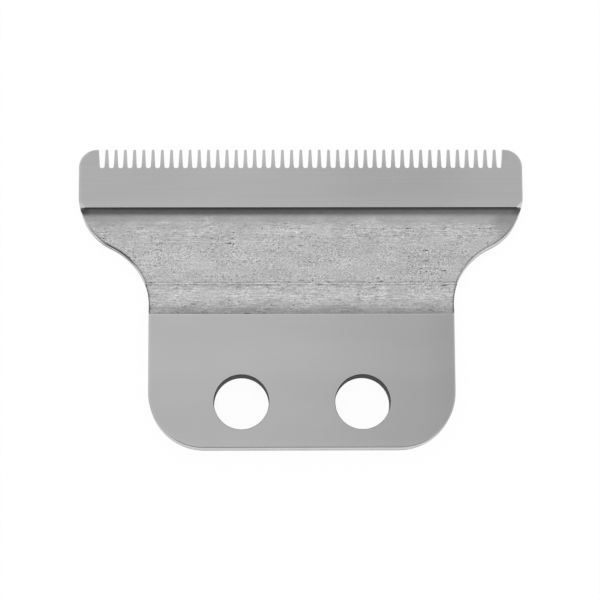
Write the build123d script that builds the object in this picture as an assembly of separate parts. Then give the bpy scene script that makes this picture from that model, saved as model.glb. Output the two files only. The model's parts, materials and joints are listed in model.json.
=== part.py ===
from build123d import *
import os
from math import acos, sin

# Fixed comb blade of a hair trimmer: one steel plate, ground on its inner face, with a wide toothed
# head, a relief channel across the middle and a screw pad behind it.
# Sizes are in millimetres and angles in degrees. The origin is midway between the screw holes, on the
# ground face: +X runs along the cutting edge, +Y to the tooth tips and +Z out of the ground face.

# Plate outline
BLADE_LENGTH = 25.83
THICKNESS = 2.0
HEAD_WIDTH = 38.1
PAD_WIDTH = 26.0
HOLES_TO_HEEL = 3.89
HEAD_CORNER_RADIUS = 1.55
HEAD_SIDE_LENGTH = 4.05
SHOULDER_RADIUS = 4.8
WAIST_RADIUS = 5.8
HEEL_CORNER_RADIUS = 4.75
EDGE_BREAK = 0.08

# Screw holes
HOLE_DIAMETER = 4.65
HOLE_SPACING = 10.25
HOLE_EDGE_BREAK = 0.04

# Relief channel between the toothed band and the screw pad
BAND_LENGTH = 5.1
HOLES_TO_PAD_EDGE = 7.55
CHANNEL_DEPTH = 0.75
STEP_FILLET_RADIUS = 0.5
STEP_END_FACET = 0.22
RUN_OUT_LENGTH = 2.74
RUN_OUT_ENTRY_ANGLE = 4.0

# Bevel of the head on the skin side
TIP_THICKNESS = 0.35
BEVEL_LENGTH = 6.0

# Tooth row
GAP_COUNT = 44
TOOTH_PITCH = 0.794
GAP_DEPTH = 1.64
GAP_MOUTH_WIDTH = 0.58
GAP_ROOT_WIDTH = 0.41
GAP_ROOT_RADIUS = 0.19
TOOTH_TIP_RADIUS = 0.07

# How far a cutting body runs past the faces that it cuts through
OVERSHOOT = 1.0

# How near two places are to count as one
SAME_PLACE = 0.001

# Places that follow from the sizes above
HEAD_HALF = HEAD_WIDTH / 2
PAD_HALF = PAD_WIDTH / 2
HEEL_Y = -HOLES_TO_HEEL
TIPS_Y = HEEL_Y + BLADE_LENGTH
STEP_Y = TIPS_Y - BAND_LENGTH
RUN_OUT_Y = HOLES_TO_PAD_EDGE + RUN_OUT_LENGTH
BACK_Z = -THICKNESS


def side_outline():
    """The right side of the plate, from the head down to the heel: two tangent arcs make its ogee."""
    lean = acos(1 - (HEAD_HALF - PAD_HALF) / (SHOULDER_RADIUS + WAIST_RADIUS))
    shoulder_y = TIPS_Y - HEAD_SIDE_LENGTH
    turn_x = HEAD_HALF - SHOULDER_RADIUS * (HEAD_HALF - PAD_HALF) / (SHOULDER_RADIUS + WAIST_RADIUS)
    turn_y = shoulder_y - SHOULDER_RADIUS * sin(lean)
    waist_y = turn_y - WAIST_RADIUS * sin(lean)

    head_side = Line((HEAD_HALF, TIPS_Y), (HEAD_HALF, shoulder_y))
    shoulder = TangentArc(head_side @ 1, (turn_x, turn_y), tangent=head_side % 1)
    waist = TangentArc(shoulder @ 1, (PAD_HALF, waist_y), tangent=shoulder % 1)
    pad_side = Line(waist @ 1, (PAD_HALF, HEEL_Y))
    return Curve() + [head_side, shoulder, waist, pad_side]


def plan_outline():
    """The outline of the plate before the teeth are cut."""
    right_side = side_outline()
    left_side = mirror(right_side, about=Plane.YZ)
    tip_line = Line((-HEAD_HALF, TIPS_Y), (HEAD_HALF, TIPS_Y))
    heel_line = Line((-PAD_HALF, HEEL_Y), (PAD_HALF, HEEL_Y))
    outline = make_face(Curve() + [right_side, left_side, tip_line, heel_line])
    outline = fillet(outline.vertices().group_by(Axis.Y)[-1], HEAD_CORNER_RADIUS)
    return fillet(outline.vertices().group_by(Axis.Y)[0], HEEL_CORNER_RADIUS)


def blank():
    """The flat plate with its edges broken on both faces."""
    plate = extrude(plan_outline(), amount=-THICKNESS)
    rims = plate.faces().filter_by(Axis.Z).edges()
    return chamfer(rims, EDGE_BREAK)


def across_head(profile):
    """A profile drawn in Y and Z, run right across the head."""
    return extrude(Plane.YZ * profile, amount=HEAD_HALF + OVERSHOOT, both=True)


def channel_floor_cut():
    """The flat floor of the relief channel, up to the steep step at the band."""
    section = FilletPolyline(
        (RUN_OUT_Y, OVERSHOOT),
        (RUN_OUT_Y, -CHANNEL_DEPTH),
        (STEP_Y, -CHANNEL_DEPTH),
        (STEP_Y, OVERSHOOT),
        radius=(0, 0, STEP_FILLET_RADIUS, 0),
        close=True,
    )
    return across_head(make_face(section))


def run_out_cut():
    """The round run-out of the channel: it leaves the floor at a slight crease and climbs to the pad."""
    section = Polyline(
        (HOLES_TO_PAD_EDGE, 0),
        (HOLES_TO_PAD_EDGE, OVERSHOOT),
        (RUN_OUT_Y, OVERSHOOT),
        (RUN_OUT_Y, -CHANNEL_DEPTH),
    )
    entry = Vector(-1, 0).rotate(Axis.Z, -RUN_OUT_ENTRY_ANGLE)
    climb = TangentArc(section @ 1, section @ 0, tangent=entry)
    return across_head(make_face(Curve() + [section, climb]))


def break_channel_edges(blade):
    """The plate with its edges broken along both sides of the channel's floor too."""
    channel_floor = blade.faces().filter_by(Axis.Z).group_by(Axis.Z)[1]
    return chamfer(channel_floor.edges().filter_by(GeomType.CIRCLE), EDGE_BREAK)


def step_end_cuts(blade):
    """The two small facets that break the band's corners at the ends of the step."""
    reach = STEP_END_FACET + OVERSHOOT
    along_step = blade.vertices().filter_by_position(Axis.Y, STEP_Y - SAME_PLACE, STEP_Y + SAME_PLACE)
    cuts = []
    for corner in along_step.group_by(Axis.Z)[-1]:
        outward = (Vector(corner.X, 0, 0).normalized() + Vector(0, -1, 1)).normalized()
        facet = Plane(Vector(corner) - outward * STEP_END_FACET, z_dir=outward)
        past_facet = extrude(facet * Rectangle(2 * reach, 2 * reach), amount=reach)
        band_end = Plane((corner.X, STEP_Y, 0), z_dir=(0, 1, 0))
        past_step = extrude(band_end * Rectangle(2 * reach, 2 * reach), amount=reach)
        cuts.append(past_facet & past_step)
    return cuts


def bevel_cut():
    """The wedge ground off the skin side, so that the head thins towards the tooth tips."""
    rise = (THICKNESS - TIP_THICKNESS) / BEVEL_LENGTH
    foot = (TIPS_Y - BEVEL_LENGTH, BACK_Z)
    beyond_tips = (TIPS_Y + OVERSHOOT, rise * OVERSHOOT - TIP_THICKNESS)
    below_tips = (TIPS_Y + OVERSHOOT, BACK_Z - OVERSHOOT)
    below_foot = (TIPS_Y - BEVEL_LENGTH, BACK_Z - OVERSHOOT)
    return across_head(make_face(Polyline(foot, beyond_tips, below_tips, below_foot, close=True)))


def gap_outline():
    """One gap between two teeth: round at its root, wider at its mouth, with the tooth tips rounded off."""
    mouth = GAP_MOUTH_WIDTH / 2
    root = GAP_ROOT_WIDTH / 2
    root_y = TIPS_Y - GAP_DEPTH
    tip = mouth + TOOTH_TIP_RADIUS
    return make_face(
        FilletPolyline(
            (tip, TIPS_Y + OVERSHOOT),
            (-tip, TIPS_Y + OVERSHOOT),
            (-tip, TIPS_Y),
            (-mouth, TIPS_Y),
            (-root, root_y),
            (root, root_y),
            (mouth, TIPS_Y),
            (tip, TIPS_Y),
            radius=(0, 0, 0, TOOTH_TIP_RADIUS, GAP_ROOT_RADIUS, GAP_ROOT_RADIUS, TOOTH_TIP_RADIUS, 0),
            close=True,
        )
    )


def gap_cuts():
    """The whole row of gaps, evenly spaced about the middle of the head."""
    gap = extrude(gap_outline(), amount=THICKNESS + OVERSHOOT, both=True)
    return [place * gap for place in GridLocations(TOOTH_PITCH, 0, GAP_COUNT, 1)]


def screw_hole_cuts():
    """The two screw holes with the edge break at both ends, as bodies to cut away."""
    radius = HOLE_DIAMETER / 2
    flare = radius + HOLE_EDGE_BREAK + OVERSHOOT
    half_section = make_face(
        Polyline(
            (0, OVERSHOOT),
            (flare, OVERSHOOT),
            (radius, -HOLE_EDGE_BREAK),
            (radius, BACK_Z + HOLE_EDGE_BREAK),
            (flare, BACK_Z - OVERSHOOT),
            (0, BACK_Z - OVERSHOOT),
            close=True,
        )
    )
    hole = revolve(Plane.XZ * half_section, Axis.Z)
    return [place * hole for place in GridLocations(HOLE_SPACING, 0, 2, 1)]


fixed_blade = break_channel_edges(blank() - channel_floor_cut())
fixed_blade -= run_out_cut()
fixed_blade -= step_end_cuts(fixed_blade)
fixed_blade -= bevel_cut()
fixed_blade -= screw_hole_cuts()
fixed_blade -= gap_cuts()

os.makedirs("parts", exist_ok=True)
export_step(fixed_blade, "parts/fixed_blade.step")
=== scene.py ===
"""The looks of a hair trimmer's fixed comb blade: ground and raw steel, on a white studio floor."""

import json
from math import radians

import bpy
from bpy.props import FloatProperty, FloatVectorProperty, PointerProperty
from mathutils import Euler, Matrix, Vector


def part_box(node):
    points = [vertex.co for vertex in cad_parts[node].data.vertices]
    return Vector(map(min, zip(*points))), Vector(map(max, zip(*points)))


bl_info = {
    "name": "Trimmer blade finish",
    "version": (1, 0, 0),
    "blender": (4, 5, 0),
    "location": "3D View > Sidebar > Blade",
    "description": "Dresses a fixed comb blade in ground and raw steel and sets it on a white studio floor",
    "category": "Material",
}

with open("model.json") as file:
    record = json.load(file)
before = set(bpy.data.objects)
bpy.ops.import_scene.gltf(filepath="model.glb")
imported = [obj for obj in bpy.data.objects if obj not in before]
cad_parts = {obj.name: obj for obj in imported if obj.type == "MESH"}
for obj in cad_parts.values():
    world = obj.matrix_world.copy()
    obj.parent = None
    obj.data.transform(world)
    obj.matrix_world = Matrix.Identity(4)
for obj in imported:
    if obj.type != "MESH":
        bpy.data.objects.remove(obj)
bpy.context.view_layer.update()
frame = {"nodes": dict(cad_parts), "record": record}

# The blade and its corners, in millimetres
MM = 0.001
BLADE = frame["nodes"]["fixed_blade"]
BLADE_LOW, BLADE_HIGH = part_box("fixed_blade")
CORNERS = [vertex.co / MM for vertex in BLADE.data.vertices]
SAME_LEVEL = 0.002
NEAR_MIDDLE = 1.5

# The screw holes
MOUNTS = {mount["name"]: mount for mount in frame["record"]["mounts"]}
HOLES = [MOUNTS["left_screw_hole"], MOUNTS["right_screw_hole"]]
HOLE_RADIUS = HOLES[0]["dims"]["r_mm"]
HOLES_Y = HOLES[0]["pos_m"][1] / MM


def channel_span():
    """Where the ground face stops at the pad's edge and where it starts again at the band's step."""
    ground = sorted({round(corner.y, 3) for corner in CORNERS if abs(corner.z) < SAME_LEVEL})
    return max(zip(ground, ground[1:]), key=lambda pair: pair[1] - pair[0])


def channel_floor():
    """The level of the channel's floor, and where the floor starts at the crease."""
    middle = (PAD_EDGE_Y + STEP_Y) / 2
    floor_z = max(corner.z for corner in CORNERS if abs(corner.y - middle) < NEAR_MIDDLE)
    crease_y = min(corner.y for corner in CORNERS if abs(corner.z - floor_z) < SAME_LEVEL)
    return floor_z, crease_y


def tooth_roots():
    """Where the gaps between the teeth end on the ground face, clear of the band's sides."""
    ground = [corner for corner in CORNERS if abs(corner.z) < SAME_LEVEL]
    inside = [corner for corner in ground if abs(corner.x) < HEAD_HALF / 2]
    return min(corner.y for corner in inside if corner.y > (STEP_Y + TIP_Y) / 2)


# Where the parts of the blade lie
PAD_EDGE_Y, STEP_Y = channel_span()
FLOOR_Z, CREASE_Y = channel_floor()
BACK_Z = BLADE_LOW.z / MM
HEEL_Y = BLADE_LOW.y / MM
TIP_Y = BLADE_HIGH.y / MM
HEAD_HALF = BLADE_HIGH.x / MM
PAD_HALF = max(corner.x for corner in CORNERS if corner.y < HOLES_Y)
ROOT_Y = tooth_roots()

# A pair of values says where something starts and where it is full
# Which way a face looks, by its normal's part along Z or Y
LOOKS_UP = (0.2, 0.4)
LOOKS_ASIDE = (0.45, 0.25)
LOOKS_DOWN = (-0.3, -0.6)
LIES_FLAT = (0.8, 0.86)
LEANS_TO_TIPS = (0.1, 0.2)
LEANS_TO_CHANNEL = (-0.4, -0.5)
FACES_CHANNEL = (0.3, -0.02)

# Regions of the blade, in millimetres
BELOW_GROUND = (-0.004, -0.02)
PAST_PAD = (PAD_EDGE_Y - 0.02, PAD_EDGE_Y)
BEFORE_BAND = (STEP_Y + 0.02, STEP_Y)
NEAR_STEP = (STEP_Y - 0.75, STEP_Y - 0.3)
ABOVE_FLOOR = (FLOOR_Z - 0.02, FLOOR_Z)
CORNER_Y = STEP_Y + 0.25
ROUND_CORNER = (0.3, 0.24)
IN_BORE = (HOLE_RADIUS + 0.06, HOLE_RADIUS + 0.01)
ROUND_HOLE = (HOLE_RADIUS + 0.08, HOLE_RADIUS + 0.05)
UPPER_PART_OF_HOLES = (HOLES_Y - 0.8, HOLES_Y - 0.4)

# Rims, which get painted highlight and painted shade: the reach of a rounded edge in millimetres, and how
# far it turns the normal there
RIM_REACH = 0.3
RIM_SAMPLES = 6
SIDE_RIM = (0.999, 0.96)
CHANNEL_RIM = (0.99, 0.945)
CLEAR_OF_STEP = (STEP_Y - 1.0, STEP_Y - 2.0)

# Painted shade on the rims of the channel, strongest on the left
LEFT_SIDE = (1.0, -1.0)
PAST_SHOULDER = (STEP_Y - 2.4, STEP_Y - 3.2)
BEFORE_CREASE = (CREASE_Y + 1.2, CREASE_Y + 2.2)
LEAST_RIM_SHADE = 0.15

# Lighter and darker parts of the ground face, most of them painted light and painted shade
ON_BAND = (STEP_Y - 1.0, STEP_Y)
SHADED_SIDE = (-6.0, 16.0)
BRIGHT_STRETCH_X = -6.5
BRIGHT_STRETCH = (7.0, 1.0)
SHADED_STRETCH_X = 8.0
SHADED_STRETCH = (8.0, 2.0)
PAD_BELT_Y = (PAD_EDGE_Y + HOLES_Y) / 2
PAD_BELT = (2.2, 0.6)
HEAD_SIDES = (HEAD_HALF - 1.0, HEAD_HALF - 0.7)
PAD_SIDES = (PAD_HALF - 4.5, PAD_HALF - 3.5)
PAD_RIGHT = (PAD_HALF - 3.0, PAD_HALF)
PAD_EDGE_LINE = (PAD_EDGE_Y - 0.12, PAD_EDGE_Y - 0.06)
BAND_FOOT = (STEP_Y + 1.2, STEP_Y + 0.2)
TEETH = (ROOT_Y, ROOT_Y + 0.9)
TOOTH_ROW = (HEAD_HALF - 1.6, HEAD_HALF - 1.8)
BY_HEEL = (HEEL_Y + 1.0, HEEL_Y + 0.3)

# Marks and painted shade in the raw channel; the strips wander a little to either side
WANDER = 1.2
SMOOTH_STRIP = (STEP_Y - 1.7, STEP_Y - 0.9)
STREAKS_BY_STEP = (STEP_Y - 3.6, STEP_Y - 2.2)
STREAKS_BY_CREASE = (CREASE_Y + 0.9, CREASE_Y - 0.1)
RUN_OUT_SHADE = (PAD_EDGE_Y + 1.5, PAD_EDGE_Y - 0.1)
RUN_OUT_SHADE_SIDES = (PAD_HALF - 2.5, PAD_HALF - 0.3)
SHADE_BORDER_Y = PAD_EDGE_Y + 1.45
SHADE_BORDER = (0.7, 0.2)
RIGHT_END = (HEAD_HALF - 2.9, HEAD_HALF - 1.75)
LEFT_END = (6.0 - HEAD_HALF, 3.0 - HEAD_HALF)
ENDS_BY_BAND = (STEP_Y - 2.6, STEP_Y - 1.6)
FLOOR_BY_STEP = (STEP_Y - 1.2, STEP_Y - 0.6)
FOOT_OF_PAD = (PAD_EDGE_Y + 0.16, PAD_EDGE_Y)

# Tool lines along the crease, painted as lighter and darker lines, a painted highlight and shade: how far
# past it each lies, and how much lighter or darker it is
CREASE_LINES = ((0.13, -0.6), (0.045, 0.5), (-0.045, -1.0), (-0.12, -0.4), (0.22, -0.25))
CREASE_LINE = (0.06, 0.01)
PRESSED = (0.2, 0.5)

# Patches, flecks and dashes of the raw steel, by the noise or cell that makes them
PATCHES = (0.35, 0.65)
FLECK_SHIFT = (40.0, 0.0, 0.0)
DARK_FLECKS = (0.37, 0.26)
BRIGHT_FLECKS = (0.61, 0.72)
DASH_CHANCE = (0.984, 0.986)
DASH_REACH = (0.26, 0.1)

# Marks and painted light and shade on the walls, the broken edges and the step
TORN_WANDER = 0.4
TORN_PART = (BACK_Z * 0.5, BACK_Z * 0.8)
TOP_OF_WALL = (BACK_Z * 0.75, BACK_Z * 0.6)
WALL_PAST_CREASE = (CREASE_Y, CREASE_Y + 1.0)
WALL_BEFORE_STEP = (STEP_Y, STEP_Y - 1.0)
HEEL_EDGE = (HEEL_Y + 1.2, HEEL_Y + 0.5)
HEEL_SPAN = (PAD_HALF - 1.5, PAD_HALF - 2.5)
RIGHT_SIDE = (-1.0, 1.0)
STEP_FOOT = (FLOOR_Z + 0.25, FLOOR_Z + 0.1)
LIGHTER_FOOT = (-3.0, 14.0)
STEP_ENDS = (HEAD_HALF - 1.1, HEAD_HALF - 0.5)

# Relief of the grain in millimetres, and the roughness of the holes' walls
RELIEF = 0.004
BORE_ROUGHNESS = 0.75

# Numbers of the mixing node's inputs for values and for colours, and of its output for colours
MIXED_VALUES = (2, 3)
MIXED_COLOURS = (6, 7)
MIXED_COLOUR = 2

# The sky brightens towards the softbox, by how far it looks that way
BRIGHT_SKY = (-0.2, 1.0)

# The camera's sensor in millimetres, and the nearest that it sees in metres
SENSOR_WIDTH = 36.0
NEAREST_SEEN = 0.01


def grey(name, description, level):
    """A colour that can be set, plain grey to start with."""
    return FloatVectorProperty(
        name=name,
        description=description,
        subtype="COLOR",
        size=4,
        min=0.0,
        max=1.0,
        default=(level, level, level, 1.0),
    )


class BladeFinish(bpy.types.PropertyGroup):
    """Colours and sizes of the blade's finishes."""

    ground_colour: grey("Ground face", "Colour of the fine ground band and pad, and of the back", 0.425)
    channel_colour: grey("Raw channel", "Colour of the raw rolled steel in the relief channel", 0.55)
    wall_colour: grey("Outer walls", "Colour of the blanked walls and of the broken edges", 0.5)
    # The step's dark colour is painted shade
    step_colour: grey("Step", "Colour of the darkened step between the channel and the toothed band", 0.19)
    # The dark colour below is painted shade: the dark reflections in the holes and along the channel's rims
    shade_colour: grey("Dark scale", "Colour of the scale in the holes and of dirt on the rims", 0.064)
    line_spacing: FloatProperty(
        name="Grinding lines",
        description="Spacing of the grinding lines on the ground face, in millimetres",
        min=0.01,
        default=0.2,
    )
    grain_size: FloatProperty(
        name="Grain",
        description="Size of the grain of the raw channel, in millimetres",
        min=0.02,
        default=0.11,
    )
    dash_size: FloatProperty(
        name="Dashes",
        description="Size of the few dark dashes in the raw channel, in millimetres",
        min=0.05,
        default=0.45,
    )


class StudioStage(bpy.types.PropertyGroup):
    """Sizes and levels of the floor, the light and the camera."""

    floor_colour: grey("Floor", "Colour of the studio floor, as it lights the blade", 0.9)
    floor_lit: grey("Floor's lit part", "Colour of the floor's lit part, which takes the shadow", 0.072)
    floor_white: FloatProperty(
        name="Floor's white",
        description="Level of the floor's own white; its lit part makes it up to 1 away from the blade",
        subtype="FACTOR",
        min=0.0,
        max=1.0,
        default=0.948,
    )
    floor_size: FloatProperty(
        name="Floor size",
        description="Length of the floor's sides",
        unit="LENGTH",
        min=0.1,
        default=6.0,
    )
    fill_dim: FloatProperty(
        name="Dim side",
        description="Brightness of the surroundings on the camera's side",
        min=0.0,
        default=0.6,
    )
    fill_bright: FloatProperty(
        name="Bright side",
        description="Brightness of the surroundings on the side of the softbox",
        min=0.0,
        default=0.65,
    )
    softbox_power: FloatProperty(
        name="Softbox power",
        description="Power of the softbox above the teeth",
        unit="POWER",
        min=0.0,
        default=0.3,
    )
    softbox_size: FloatProperty(
        name="Softbox size",
        description="Length of the softbox's sides",
        unit="LENGTH",
        min=0.01,
        default=0.46,
    )
    softbox_place: FloatVectorProperty(
        name="Softbox place",
        description="Where the softbox hangs",
        subtype="XYZ_LENGTH",
        default=(-0.06, 0.2, 0.4),
    )
    camera_place: FloatVectorProperty(
        name="Camera place",
        description="Where the camera stands",
        subtype="XYZ_LENGTH",
        default=(-0.00389, -0.03035, 0.20506),
    )
    camera_turn: FloatVectorProperty(
        name="Camera turn",
        description="How the camera is turned from looking straight down",
        subtype="EULER",
        default=(radians(10.799), radians(-0.996), radians(-0.279)),
    )
    camera_lens: FloatProperty(
        name="Lens",
        description="Focal length of the camera",
        unit="CAMERA",
        min=1.0,
        default=147.27,
    )


class NodeBench:
    """Adds and joins the nodes of one tree, so that a finish reads as a list of steps."""

    def __init__(self, tree):
        self.tree = tree

    def add(self, kind, inputs=None, **options):
        """One node with its options set, and its inputs set to numbers or joined to outputs."""
        made = self.tree.nodes.new(kind)
        for option, value in options.items():
            setattr(made, option, value)
        for key, value in (inputs or {}).items():
            if isinstance(value, bpy.types.NodeSocket):
                self.tree.links.new(value, made.inputs[key])
            else:
                made.inputs[key].default_value = value
        return made

    def math(self, operation, first, second=0.0):
        """A sum, product or other step on two values."""
        return self.add("ShaderNodeMath", {0: first, 1: second}, operation=operation).outputs[0]

    def times(self, first, *others):
        """The product of some values."""
        for other in others:
            first = self.math("MULTIPLY", first, other)
        return first

    def total(self, first, *others):
        """The sum of some values."""
        for other in others:
            first = self.math("ADD", first, other)
        return first

    def shades(self, *pairs):
        """The sum of some masks, each times how much lighter or darker it makes the steel."""
        return self.total(*(self.times(mask, amount) for mask, amount in pairs))

    def rest(self, share):
        """What a share leaves of 1."""
        return self.math("SUBTRACT", 1.0, share)

    def away(self, value, middle):
        """How far a value is from a middle."""
        return self.math("ABSOLUTE", self.math("SUBTRACT", value, middle))

    def vector(self, operation, first, second):
        """A sum, product or other step on two vectors that gives a vector."""
        made = self.add("ShaderNodeVectorMath", {0: first, 1: second}, operation=operation)
        return made.outputs["Vector"]

    def measure(self, operation, first, second):
        """A distance or other step on two vectors that gives a value."""
        made = self.add("ShaderNodeVectorMath", {0: first, 1: second}, operation=operation)
        return made.outputs["Value"]

    def parts(self, vector):
        """The parts of a vector along X, Y and Z."""
        return self.add("ShaderNodeSeparateXYZ", {0: vector}).outputs

    def grouped(self, tree, inputs):
        """The outputs of a node group, with its inputs set or joined."""
        return self.add("ShaderNodeGroup", inputs, node_tree=tree).outputs

    def fade(self, value, low, high):
        """A soft step that rises from 0 at low to 1 at high; it falls where low is the larger."""
        if low > high:
            return self.rest(self.fade(value, high, low))
        inputs = {"Value": value, "From Min": low, "From Max": high}
        return self.add("ShaderNodeMapRange", inputs, interpolation_type="SMOOTHSTEP").outputs["Result"]

    def spread(self, value, low, high):
        """A value from 0 to 1, spread from low to high."""
        inputs = {"Value": value, "To Min": low, "To Max": high}
        return self.add("ShaderNodeMapRange", inputs).outputs["Result"]

    def between(self, share, first, second):
        """Two values mixed by a share."""
        inputs = {0: share, MIXED_VALUES[0]: first, MIXED_VALUES[1]: second}
        return self.add("ShaderNodeMix", inputs, data_type="FLOAT").outputs[0]

    def colours_between(self, share, first, second):
        """Two colours mixed by a share."""
        inputs = {0: share, MIXED_COLOURS[0]: first, MIXED_COLOURS[1]: second}
        return self.add("ShaderNodeMix", inputs, data_type="RGBA").outputs[MIXED_COLOUR]

    def scaled(self, vector, level):
        """A vector made longer or shorter."""
        made = self.add("ShaderNodeVectorMath", {0: vector, "Scale": level}, operation="SCALE")
        return made.outputs["Vector"]

    def shaded(self, colour, level):
        """A set colour made lighter or darker by a level."""
        return self.scaled(tuple(colour)[:3], level)

    def stretched(self, place, x, y, z):
        """A place measured in grains that are x, y and z long."""
        return self.vector("DIVIDE", place, (x, y, z))

    def sized(self, place, size, x, y):
        """A place measured in grains of a given size, stretched x and y times."""
        sizes = {"X": self.times(size, x), "Y": self.times(size, y), "Z": size}
        return self.vector("DIVIDE", place, self.add("ShaderNodeCombineXYZ", sizes).outputs[0])

    def noise(self, place, detail=2.0, roughness=0.5):
        """Cloudy noise, one cloud to each unit of the place."""
        inputs = {"Vector": place, "Scale": 1.0, "Detail": detail, "Roughness": roughness}
        return self.add("ShaderNodeTexNoise", inputs, noise_dimensions="3D").outputs[0]


def new_group(name, inputs, outputs):
    """An empty node group with its named sockets; gives back its bench, its inputs and its output node."""
    tree = bpy.data.node_groups.new(name, "ShaderNodeTree")
    for socket_name, kind in inputs.items():
        tree.interface.new_socket(name=socket_name, in_out="INPUT", socket_type=kind)
    for socket_name in outputs:
        tree.interface.new_socket(name=socket_name, in_out="OUTPUT", socket_type="NodeSocketFloat")
    bench = NodeBench(tree)
    return bench, bench.add("NodeGroupInput").outputs, bench.add("NodeGroupOutput").inputs


def empty_bench(owner):
    """A bench for the nodes of a material or a world, with none on it yet."""
    owner.use_nodes = True
    owner.node_tree.nodes.clear()
    return NodeBench(owner.node_tree)


def blade_regions():
    """The group that tells the blade's finishes apart, by place and by the way a face looks."""
    sockets = {"Place": "NodeSocketVector", "Facing": "NodeSocketVector"}
    faces = ("Ground", "Channel", "Step", "Bore", "Back", "Bevel")
    edges = ("Edge", "Channel edge", "Corner", "Rim shade")
    bench, given, found = new_group("Blade regions", sockets, faces + edges)
    join = bench.tree.links.new
    place = bench.parts(given["Place"])
    facing = bench.parts(given["Facing"])

    looks_up = bench.fade(facing["Z"], *LOOKS_UP)
    looks_down = bench.fade(facing["Z"], *LOOKS_DOWN)
    looks_aside = bench.fade(bench.math("ABSOLUTE", facing["Z"]), *LOOKS_ASIDE)
    flat = bench.fade(facing["Z"], *LIES_FLAT)
    broken = bench.times(looks_up, bench.rest(flat))
    sunk = bench.fade(place["Z"], *BELOW_GROUND)
    in_span = bench.times(bench.fade(place["Y"], *PAST_PAD), bench.fade(place["Y"], *BEFORE_BAND))
    join(bench.times(looks_up, bench.rest(sunk)), found["Ground"])
    join(bench.times(in_span, flat, sunk), found["Channel"])
    join(looks_down, found["Back"])
    join(bench.times(looks_down, bench.fade(facing["Y"], *LEANS_TO_TIPS)), found["Bevel"])
    join(broken, found["Edge"])
    join(bench.times(broken, in_span), found["Channel edge"])

    on_step = bench.times(
        in_span,
        bench.fade(place["Y"], *NEAR_STEP),
        bench.fade(place["Z"], *ABOVE_FLOOR),
        bench.fade(facing["Y"], *FACES_CHANNEL),
    )
    join(on_step, found["Step"])
    on_corner = bench.times(
        broken,
        bench.fade(bench.away(place["Y"], CORNER_Y), *ROUND_CORNER),
        bench.fade(facing["Y"], *LEANS_TO_CHANNEL),
    )
    join(on_corner, found["Corner"])
    # Painted shade on the channel's rims, strongest on the left side
    rim_shaded = bench.times(
        bench.fade(place["X"], *LEFT_SIDE),
        bench.fade(place["Y"], *PAST_SHOULDER),
        bench.fade(place["Y"], *BEFORE_CREASE),
    )
    join(bench.spread(rim_shaded, LEAST_RIM_SHADE, 1.0), found["Rim shade"])

    # The holes' walls and the upper part of their rims take the dark colour: painted shade
    bores = []
    rings = []
    in_plan = bench.vector("MULTIPLY", given["Place"], (1.0, 1.0, 0.0))
    for hole in HOLES:
        axis = (hole["pos_m"][0] / MM, hole["pos_m"][1] / MM, 0.0)
        from_axis = bench.measure("DISTANCE", in_plan, axis)
        bores.append(bench.fade(from_axis, *IN_BORE))
        rings.append(bench.fade(from_axis, *ROUND_HOLE))
    in_bore = bench.times(looks_aside, bench.math("MAXIMUM", *bores))
    upper_part = bench.fade(place["Y"], *UPPER_PART_OF_HOLES)
    on_ring = bench.times(broken, upper_part, bench.math("MAXIMUM", *rings))
    join(bench.math("MAXIMUM", in_bore, on_ring), found["Bore"])
    return bench.tree


def grinding_lines():
    """The group for the fine lines of a grinding wheel along the cutting edge, and a faint haze."""
    sockets = {"Place": "NodeSocketVector", "Spacing": "NodeSocketFloat"}
    bench, given, found = new_group("Grinding lines", sockets, ("Lines", "Haze"))
    join = bench.tree.links.new
    lines = bench.sized(given["Place"], given["Spacing"], x=60.0, y=1.0)
    haze = bench.stretched(given["Place"], x=9.0, y=3.0, z=3.0)
    join(bench.noise(lines, roughness=0.6), found["Lines"])
    join(bench.noise(haze), found["Haze"])
    return bench.tree


def raw_grain():
    """The group for raw rolled steel: grain, streaks and long lines along the cutting edge, clouds,
    patches, flecks and dark dashes."""
    sockets = {"Place": "NodeSocketVector", "Grain": "NodeSocketFloat", "Dash": "NodeSocketFloat"}
    along = ("Grain", "Streaks", "Long lines")
    spots = ("Clouds", "Patches", "Dark flecks", "Bright flecks", "Dashes")
    bench, given, found = new_group("Raw grain", sockets, along + spots)
    join = bench.tree.links.new
    place = given["Place"]
    size = given["Grain"]

    grain = bench.sized(place, size, x=1.3, y=0.9)
    streaks = bench.sized(place, size, x=6.0, y=1.0)
    long_lines = bench.sized(place, size, x=400.0, y=1.1)
    clouds = bench.stretched(place, x=2.6, y=1.1, z=1.1)
    patches = bench.stretched(place, x=1.5, y=1.2, z=1.2)
    join(bench.noise(grain, detail=4.0, roughness=0.7), found["Grain"])
    join(bench.noise(streaks, detail=3.0), found["Streaks"])
    join(bench.noise(long_lines, roughness=0.6), found["Long lines"])
    join(bench.noise(clouds), found["Clouds"])
    join(bench.fade(bench.noise(patches, detail=1.0), *PATCHES), found["Patches"])

    elsewhere = bench.vector("ADD", place, FLECK_SHIFT)
    flecks = bench.noise(bench.sized(elsewhere, size, x=2.2, y=1.5), detail=1.0)
    join(bench.fade(flecks, *DARK_FLECKS), found["Dark flecks"])
    join(bench.fade(flecks, *BRIGHT_FLECKS), found["Bright flecks"])

    cells = {"Vector": bench.sized(place, given["Dash"], x=3.4, y=0.6), "Scale": 1.0, "Randomness": 1.0}
    dash = bench.add("ShaderNodeTexVoronoi", cells, voronoi_dimensions="2D", feature="F1").outputs
    chance = bench.add("ShaderNodeSeparateColor", {0: dash["Color"]}).outputs[0]
    picked = bench.fade(chance, *DASH_CHANCE)
    join(bench.times(picked, bench.fade(dash["Distance"], *DASH_REACH)), found["Dashes"])
    return bench.tree


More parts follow.
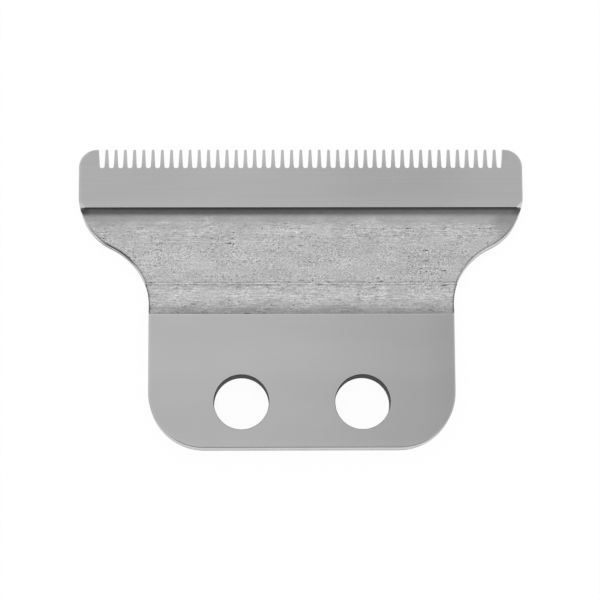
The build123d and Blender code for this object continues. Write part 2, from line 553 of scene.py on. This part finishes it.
def channel_marks():
    """The group for what making the channel left in it, with painted light and shade: a smooth strip along
    the step, also darkened as painted shade; streaky strips; tool lines along the crease, painted as
    lighter and darker lines; painted shade up the run-out; and darker ends, also painted shade."""
    outputs = ("Smooth", "Streaky", "Crease", "Run-out shade", "Ends")
    bench, given, found = new_group("Channel marks", {"Place": "NodeSocketVector"}, outputs)
    join = bench.tree.links.new
    place = bench.parts(given["Place"])
    drift = bench.noise(bench.stretched(given["Place"], x=2.8, y=1.3, z=1.3), detail=3.0, roughness=0.6)
    along_y = bench.total(place["Y"], bench.spread(drift, -WANDER, WANDER))

    # The smooth strip along the step, which also carries painted shade
    join(bench.fade(along_y, *SMOOTH_STRIP), found["Smooth"])
    by_step = bench.fade(along_y, *STREAKS_BY_STEP)
    by_crease = bench.fade(along_y, *STREAKS_BY_CREASE)
    join(bench.math("MAXIMUM", by_step, by_crease), found["Streaky"])
    # Painted shade up the run-out towards the pad, weaker to the sides
    by_sides = bench.fade(bench.math("ABSOLUTE", place["X"]), *RUN_OUT_SHADE_SIDES)
    join(bench.times(bench.fade(along_y, *RUN_OUT_SHADE), bench.spread(by_sides, 1.0, 0.5)), found["Run-out shade"])
    # Darker ends of the channel: painted shade
    right_end = bench.fade(place["X"], *RIGHT_END)
    left_end = bench.times(bench.fade(place["X"], *LEFT_END), bench.fade(place["Y"], *ENDS_BY_BAND))
    join(bench.total(right_end, bench.times(left_end, 0.35)), found["Ends"])

    # Tool lines along the crease, painted as lighter and darker lines: painted highlight and shade where
    # the floor bends
    lines = []
    pressure = bench.noise(bench.stretched(given["Place"], x=3.2, y=0.15, z=50.0))
    pressed = bench.fade(pressure, *PRESSED)
    for past_crease, shade in CREASE_LINES:
        on_line = bench.fade(bench.away(place["Y"], CREASE_Y + past_crease), *CREASE_LINE)
        lines.append(bench.times(on_line, pressed, shade))
    join(bench.total(*lines), found["Crease"])
    return bench.tree


def wall_marks():
    """The group for blanked walls: streaks across the plate, and the rough part where the steel broke."""
    bench, given, found = new_group("Wall marks", {"Place": "NodeSocketVector"}, ("Streaks", "Broken"))
    join = bench.tree.links.new
    streaks = bench.stretched(given["Place"], x=0.11, y=0.11, z=2.4)
    join(bench.noise(streaks, detail=3.0, roughness=0.6), found["Streaks"])
    drift = bench.noise(bench.stretched(given["Place"], x=2.2, y=2.2, z=2.2), detail=1.0)
    torn = bench.total(bench.parts(given["Place"])["Z"], bench.spread(drift, -TORN_WANDER, TORN_WANDER))
    join(bench.fade(torn, *TORN_PART), found["Broken"])
    return bench.tree


class SteelMarks:
    """What the finishes go by: places in millimetres, regions, and the marks that making the blade left,
    along with masks for painted light and shade.
    """

    def __init__(self, bench, finish):
        spot = bench.add("ShaderNodeTexCoord").outputs["Object"]
        place = bench.scaled(spot, 1.0 / MM)
        facing = bench.add("ShaderNodeNewGeometry").outputs["Normal"]
        rounded = bench.add("ShaderNodeBevel", {"Radius": RIM_REACH * MM}, samples=RIM_SAMPLES)
        raw_inputs = {"Place": place, "Grain": finish.grain_size, "Dash": finish.dash_size}

        self.across = bench.parts(place)
        self.aside = bench.math("ABSOLUTE", self.across["X"])
        self.turned = bench.measure("DOT_PRODUCT", rounded.outputs["Normal"], facing)
        self.region = bench.grouped(blade_regions(), {"Place": place, "Facing": facing})
        self.ground = bench.grouped(grinding_lines(), {"Place": place, "Spacing": finish.line_spacing})
        self.raw = bench.grouped(raw_grain(), raw_inputs)
        self.channel = bench.grouped(channel_marks(), {"Place": place})
        self.wall = bench.grouped(wall_marks(), {"Place": place})
        self.lively = bench.times(
            bench.spread(self.channel["Smooth"], 1.0, 0.25),
            bench.spread(self.channel["Run-out shade"], 1.0, 0.6),
            bench.spread(self.raw["Patches"], 0.75, 1.35),
            bench.spread(self.channel["Ends"], 1.0, 0.4),
        )


def ground_steel(bench, finish, marks):
    """The ground face: nearly even, with fine lines and haze, the band a little duller than the pad;
    painted light and shade lighten its rims, teeth, edges and heel and darken its right side and a stretch
    of the band.
    """
    x = marks.across["X"]
    y = marks.across["Y"]
    on_band = bench.fade(y, *ON_BAND)
    on_pad = bench.rest(on_band)
    line_depth = bench.spread(on_band, 0.05, 0.085)
    # Painted shade: the pad darkens towards its right side, and its rim highlight fades there
    shaded_side = bench.fade(x, *SHADED_SIDE)
    # Painted light and painted shade along the band: a lighter stretch on the left, a darker one on the
    # right
    bright_stretch = bench.fade(bench.away(x, BRIGHT_STRETCH_X), *BRIGHT_STRETCH)
    shaded_stretch = bench.fade(bench.away(x, SHADED_STRETCH_X), *SHADED_STRETCH)
    bright_belt = bench.fade(bench.away(y, PAD_BELT_Y), *PAD_BELT)
    on_tooth = bench.times(bench.fade(y, *TEETH), bench.fade(marks.aside, *TOOTH_ROW))
    by_sides = bench.total(
        bench.times(on_band, bench.fade(marks.aside, *HEAD_SIDES)),
        bench.times(on_pad, bench.fade(marks.aside, *PAD_SIDES)),
    )
    # Painted highlight along the rims of the band's and pad's sides
    side_rim = bench.times(by_sides, bench.fade(marks.turned, *SIDE_RIM))
    level = bench.total(
        1.0,
        bench.times(line_depth, bench.spread(marks.ground["Lines"], -1.0, 1.0)),
        bench.spread(marks.ground["Haze"], -0.04, 0.04),
        # Painted shade on the pad's right side, and painted highlight on the side rims, stronger on the
        # left
        bench.times(on_pad, bench.spread(shaded_side, 0.035, -0.145)),
        bench.times(side_rim, bench.spread(shaded_side, 0.15, 0.06)),
        bench.shades(
            (on_band, -0.055),
            # Painted light and shade along the band
            (bench.times(on_band, bright_stretch), 0.03),
            (bench.times(on_band, shaded_stretch), -0.06),
            # Painted highlights at the band's foot, on the teeth and along the pad's edge, painted shade on
            # the pad's right, and painted light by the heel
            (bench.times(on_band, bench.fade(y, *BAND_FOOT)), 0.035),
            (on_tooth, 0.15),
            (bench.times(on_pad, bench.fade(y, *PAD_EDGE_LINE)), 0.1),
            (bench.times(on_pad, bench.fade(x, *PAD_RIGHT)), -0.05),
            (bench.times(on_pad, bright_belt), 0.03),
            (bench.fade(y, *BY_HEEL), 0.03),
        ),
    )
    return bench.shaded(finish.ground_colour, level)


def channel_steel(bench, finish, marks):
    """The raw channel: grain, streaks and flecks, calmer along the step and up the run-out, with painted
    shade along the step, up the run-out and at the ends, and painted light and shade along the crease.
    """
    y = marks.across["Y"]
    raw = marks.raw
    channel = marks.channel
    grainy = bench.times(marks.lively, bench.spread(channel["Streaky"], 1.25, 0.8))
    streaky = bench.times(marks.lively, bench.spread(channel["Streaky"], 0.15, 0.6))
    lined = bench.spread(channel["Smooth"], 1.0, 0.5)
    shade_border = bench.fade(bench.away(y, SHADE_BORDER_Y), *SHADE_BORDER)
    level = bench.total(
        1.0,
        bench.times(grainy, bench.spread(raw["Grain"], -1.0, 1.0)),
        bench.times(streaky, bench.spread(raw["Streaks"], -1.0, 1.0)),
        bench.times(lined, bench.spread(raw["Long lines"], -0.2, 0.2)),
        bench.spread(raw["Clouds"], -0.17, 0.17),
        # Painted shade up the run-out
        bench.times(channel["Run-out shade"], bench.spread(raw["Streaks"], -0.16, -0.38)),
        bench.shades(
            (bench.times(marks.lively, raw["Dark flecks"]), -0.4),
            (bench.times(marks.lively, raw["Bright flecks"]), 0.16),
            (raw["Dashes"], -0.55),
            # Painted shade along the step: darker in the smooth strip and on the floor by the step's foot
            (channel["Smooth"], -0.14),
            (bench.fade(y, *FLOOR_BY_STEP), -0.05),
            # A lighter border to the run-out's painted shade, and painted shade at the foot of the pad
            (shade_border, 0.04),
            (bench.fade(y, *FOOT_OF_PAD), -0.2),
            # Painted highlight and shade along the crease
            (channel["Crease"], 0.42),
            # Painted shade at the channel's ends
            (channel["Ends"], -0.22),
        ),
    )
    return bench.shaded(finish.channel_colour, level)


def wall_steel(bench, finish, marks):
    """The blanked walls; beside the channel they get a painted highlight or painted shade above and painted
    shade at their foot.
    """
    top_of_wall = bench.fade(marks.across["Z"], *TOP_OF_WALL)
    by_channel = bench.times(
        bench.fade(marks.across["Y"], *WALL_PAST_CREASE),
        bench.fade(marks.across["Y"], *WALL_BEFORE_STEP),
    )
    level = bench.total(
        bench.spread(marks.wall["Streaks"], 0.98, 1.24),
        bench.times(marks.wall["Broken"], bench.spread(marks.raw["Grain"], -0.3, -0.05)),
        # Painted highlight at the top of the walls beside the channel, painted shade where the rim shade is
        # strong, and painted shade at their foot
        bench.times(by_channel, top_of_wall, bench.spread(marks.region["Rim shade"], 0.55, -0.25)),
        bench.times(by_channel, bench.rest(top_of_wall), -0.4),
    )
    return bench.shaded(finish.wall_colour, level)


def back_steel(bench, finish, marks):
    """The back: ground like the face, but more coarsely and with a few flecks left."""
    level = bench.total(
        bench.spread(marks.ground["Lines"], 0.8, 1.2),
        bench.spread(marks.ground["Haze"], -0.08, 0.08),
        bench.times(marks.raw["Dark flecks"], -0.06),
    )
    return bench.shaded(finish.ground_colour, level)


def bevel_steel(bench, finish, marks):
    """The bevel on the skin side, brighter than the back."""
    return bench.shaded(finish.ground_colour, bench.spread(marks.ground["Lines"], 1.15, 1.45))


def edge_steel(bench, finish, marks):
    """The broken edges, with painted shade along the heel."""
    # Painted shade along the heel's edge
    along_heel = bench.times(
        bench.fade(marks.across["Y"], *HEEL_EDGE),
        bench.fade(marks.aside, *HEEL_SPAN),
    )
    level = bench.total(bench.spread(marks.raw["Streaks"], 1.0, 1.3), bench.times(along_heel, -0.35))
    return bench.shaded(finish.wall_colour, level)


def corner_steel(bench, finish, marks):
    """The facets at the ends of the step, with a painted highlight on the right."""
    right_side = bench.fade(marks.across["X"], *RIGHT_SIDE)
    # Painted highlight, stronger on the right facet
    level = bench.total(bench.spread(marks.raw["Streaks"], 1.0, 1.4), bench.times(right_side, 0.25))
    return bench.shaded(finish.wall_colour, level)


def step_steel(bench, finish, marks):
    """The step: its dark colour is painted shade, darker still to its ends, with a foot lighter towards the
    right as painted light.
    """
    foot = bench.fade(marks.across["Z"], *STEP_FOOT)
    level = bench.total(
        bench.spread(marks.raw["Streaks"], 0.8, 1.2),
        # Painted light on the foot towards the right, and painted shade to the step's ends
        bench.times(foot, bench.fade(marks.across["X"], *LIGHTER_FOOT), 0.35),
        bench.times(bench.fade(marks.aside, *STEP_ENDS), -0.4),
    )
    return bench.shaded(finish.step_colour, level)


def blade_colour(bench, finish, marks):
    """The colour of the whole blade: each finish laid over the walls', region by region."""
    region = marks.region
    # Painted shade: a dark colour for the holes and the channel's rims, where the steel reflects dark
    # surroundings
    shading = bench.shaded(finish.shade_colour, bench.spread(marks.raw["Grain"], 0.6, 1.4))
    # Painted highlight on the channel's broken edges, turned to painted shade by the rim shade mask
    rim_highlight = bench.shaded(finish.wall_colour, bench.spread(marks.raw["Streaks"], 1.5, 1.9))
    # Painted shade along the channel's rounded rims, away from the step, in the dark colour
    clear_of_step = bench.fade(marks.across["Y"], *CLEAR_OF_STEP)
    rim = bench.times(region["Channel"], clear_of_step, bench.fade(marks.turned, *CHANNEL_RIM))
    layers = (
        (region["Ground"], ground_steel(bench, finish, marks)),
        (region["Back"], back_steel(bench, finish, marks)),
        (region["Bevel"], bevel_steel(bench, finish, marks)),
        (region["Edge"], edge_steel(bench, finish, marks)),
        (region["Channel"], channel_steel(bench, finish, marks)),
        (rim, shading),
        (region["Channel edge"], bench.colours_between(region["Rim shade"], rim_highlight, shading)),
        (region["Step"], step_steel(bench, finish, marks)),
        (region["Corner"], corner_steel(bench, finish, marks)),
        # The holes' walls get the painted shade
        (region["Bore"], shading),
    )
    colour = wall_steel(bench, finish, marks)
    for share, laid in layers:
        colour = bench.colours_between(share, colour, laid)
    return colour


def blade_roughness(bench, marks):
    """How rough the steel is: fine where it is ground, coarse in the channel, matt in the holes."""
    fine = bench.spread(marks.ground["Lines"], 0.24, 0.36)
    coarse = bench.spread(marks.raw["Grain"], 0.36, 0.56)
    layers = (
        (marks.region["Ground"], fine),
        (marks.region["Back"], fine),
        (marks.region["Channel"], coarse),
        (marks.region["Step"], coarse),
        (marks.region["Bore"], BORE_ROUGHNESS),
    )
    roughness = bench.spread(marks.wall["Broken"], 0.36, 0.5)
    for share, laid in layers:
        roughness = bench.between(share, roughness, laid)
    return roughness


def blade_relief(bench, marks):
    """The fine relief: lines on the ground faces, grain in the channel, streaks on the walls."""
    smooth_face = bench.math("MAXIMUM", marks.region["Ground"], marks.region["Back"])
    rough_face = bench.math("MAXIMUM", marks.region["Channel"], marks.region["Step"])
    plain_face = bench.rest(bench.math("MAXIMUM", smooth_face, rough_face))
    grain = bench.total(
        bench.times(marks.raw["Grain"], marks.lively),
        bench.times(marks.raw["Clouds"], 3.0),
        bench.times(marks.raw["Dashes"], -1.0),
    )
    return bench.total(
        bench.times(smooth_face, marks.ground["Lines"], 0.12),
        bench.times(rough_face, grain),
        bench.times(plain_face, marks.wall["Streaks"], bench.spread(marks.wall["Broken"], 0.4, 1.2)),
    )


def blade_steel(finish):
    """The blade's steel: one material whose finish changes from region to region."""
    material = bpy.data.materials.new("blade_steel_finish")
    bench = empty_bench(material)
    marks = SteelMarks(bench, finish)
    relief = blade_relief(bench, marks)
    bump = bench.add("ShaderNodeBump", {"Strength": 1.0, "Distance": RELIEF * MM, "Height": relief})
    looks = {
        "Base Color": blade_colour(bench, finish, marks),
        "Metallic": 1.0,
        "Roughness": blade_roughness(bench, marks),
        "Normal": bump.outputs["Normal"],
    }
    steel = bench.add("ShaderNodeBsdfPrincipled", looks)
    bench.add("ShaderNodeOutputMaterial", {"Surface": steel.outputs["BSDF"]})
    return material


def studio_white(stage):
    """The floor's material: white where it is seen, with a lit part that takes the blade's shadow."""
    material = bpy.data.materials.new("studio_white")
    bench = empty_bench(material)
    path = bench.add("ShaderNodeLightPath").outputs
    seen = bench.total(path["Is Camera Ray"], path["Is Glossy Ray"], path["Is Transmission Ray"])
    share = bench.math("MINIMUM", seen, 1.0)
    matt = bench.add("ShaderNodeBsdfDiffuse", {"Color": stage.floor_colour})
    lit = bench.add("ShaderNodeBsdfDiffuse", {"Color": stage.floor_lit})
    white = bench.add("ShaderNodeEmission", {"Strength": stage.floor_white})
    shown = bench.add("ShaderNodeAddShader", {0: lit.outputs[0], 1: white.outputs[0]})
    floor = bench.add("ShaderNodeMixShader", {0: share, 1: matt.outputs[0], 2: shown.outputs[0]})
    bench.add("ShaderNodeOutputMaterial", {"Surface": floor.outputs[0]})
    return material


def add_object(name, data):
    """A new object in the scene, made of the given data."""
    made = bpy.data.objects.new(name, data)
    bpy.context.scene.collection.objects.link(made)
    return made


def lay_floor(stage):
    """The studio floor, level with the blade's back."""
    half = stage.floor_size / 2
    level = BLADE_LOW.z
    corners = [(-half, -half, level), (half, -half, level), (half, half, level), (-half, half, level)]
    mesh = bpy.data.meshes.new("studio_floor")
    mesh.from_pydata(corners, [], [(0, 1, 2, 3)])
    mesh.materials.append(studio_white(stage))
    floor = add_object("studio_floor", mesh)


def hang_softbox(stage):
    """The softbox above and beyond the teeth, facing the blade."""
    light = bpy.data.lights.new("softbox", "AREA")
    light.energy = stage.softbox_power
    light.shape = "SQUARE"
    light.size = stage.softbox_size
    softbox = add_object("softbox", light)
    softbox.location = stage.softbox_place
    softbox.rotation_euler = Vector(stage.softbox_place).to_track_quat("Z", "Y").to_euler()
    softbox.visible_camera = False


def light_surroundings(stage):
    """The pale surroundings, brighter beyond the teeth than on the camera's side."""
    world = bpy.data.worlds.new("studio_surroundings")
    bpy.context.scene.world = world
    bench = empty_bench(world)
    way = bench.add("ShaderNodeTexCoord").outputs["Generated"]
    towards = bench.measure("DOT_PRODUCT", way, Vector(stage.softbox_place).normalized())
    level = bench.between(bench.fade(towards, *BRIGHT_SKY), stage.fill_dim, stage.fill_bright)
    sky = bench.add("ShaderNodeBackground", {"Color": (1.0, 1.0, 1.0, 1.0), "Strength": level})
    bench.add("ShaderNodeOutputWorld", {"Surface": sky.outputs[0]})


def place_camera(stage):
    """The camera, where the photograph was taken from."""
    lens = bpy.data.cameras.new("photo_camera")
    lens.lens = stage.camera_lens
    lens.sensor_width = SENSOR_WIDTH
    lens.clip_start = NEAREST_SEEN
    camera = add_object("photo_camera", lens)
    camera.location = stage.camera_place
    camera.rotation_euler = Euler(stage.camera_turn)
    bpy.context.scene.camera = camera


class BLADE_OT_dress(bpy.types.Operator):
    """Give the blade its ground and raw steel, with painted light and shade."""

    bl_idname = "trimmer_blade.dress"
    bl_label = "Dress blade"

    def execute(self, context):
        BLADE.material_slots[0].material = blade_steel(context.scene.blade_finish)
        return {"FINISHED"}


class BLADE_OT_stage(bpy.types.Operator):
    """Lay the floor, light the blade and place the camera."""

    bl_idname = "trimmer_blade.stage"
    bl_label = "Set stage"

    def execute(self, context):
        stage = context.scene.studio_stage
        context.scene.view_settings.view_transform = "Standard"
        lay_floor(stage)
        hang_softbox(stage)
        light_surroundings(stage)
        place_camera(stage)
        return {"FINISHED"}


class BLADE_PT_panel(bpy.types.Panel):
    """The blade's finishes and its stage, with the steps that make them."""

    bl_label = "Trimmer blade"
    bl_idname = "BLADE_PT_panel"
    bl_space_type = "VIEW_3D"
    bl_region_type = "UI"
    bl_category = "Blade"

    def draw(self, context):
        for settings, step in (
            (context.scene.blade_finish, BLADE_OT_dress.bl_idname),
            (context.scene.studio_stage, BLADE_OT_stage.bl_idname),
        ):
            box = self.layout.box()
            for name in settings.__annotations__:
                box.prop(settings, name)
            box.operator(step)


CLASSES = (BladeFinish, StudioStage, BLADE_OT_dress, BLADE_OT_stage, BLADE_PT_panel)


def register():
    for made in CLASSES:
        bpy.utils.register_class(made)
    bpy.types.Scene.blade_finish = PointerProperty(type=BladeFinish)
    bpy.types.Scene.studio_stage = PointerProperty(type=StudioStage)


def unregister():
    del bpy.types.Scene.studio_stage
    del bpy.types.Scene.blade_finish
    for made in reversed(CLASSES):
        bpy.utils.unregister_class(made)


def main():
    """Dress the blade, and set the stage."""
    register()
    bpy.ops.trimmer_blade.dress()
    bpy.ops.trimmer_blade.stage()


if __name__ == "__main__":
    main()
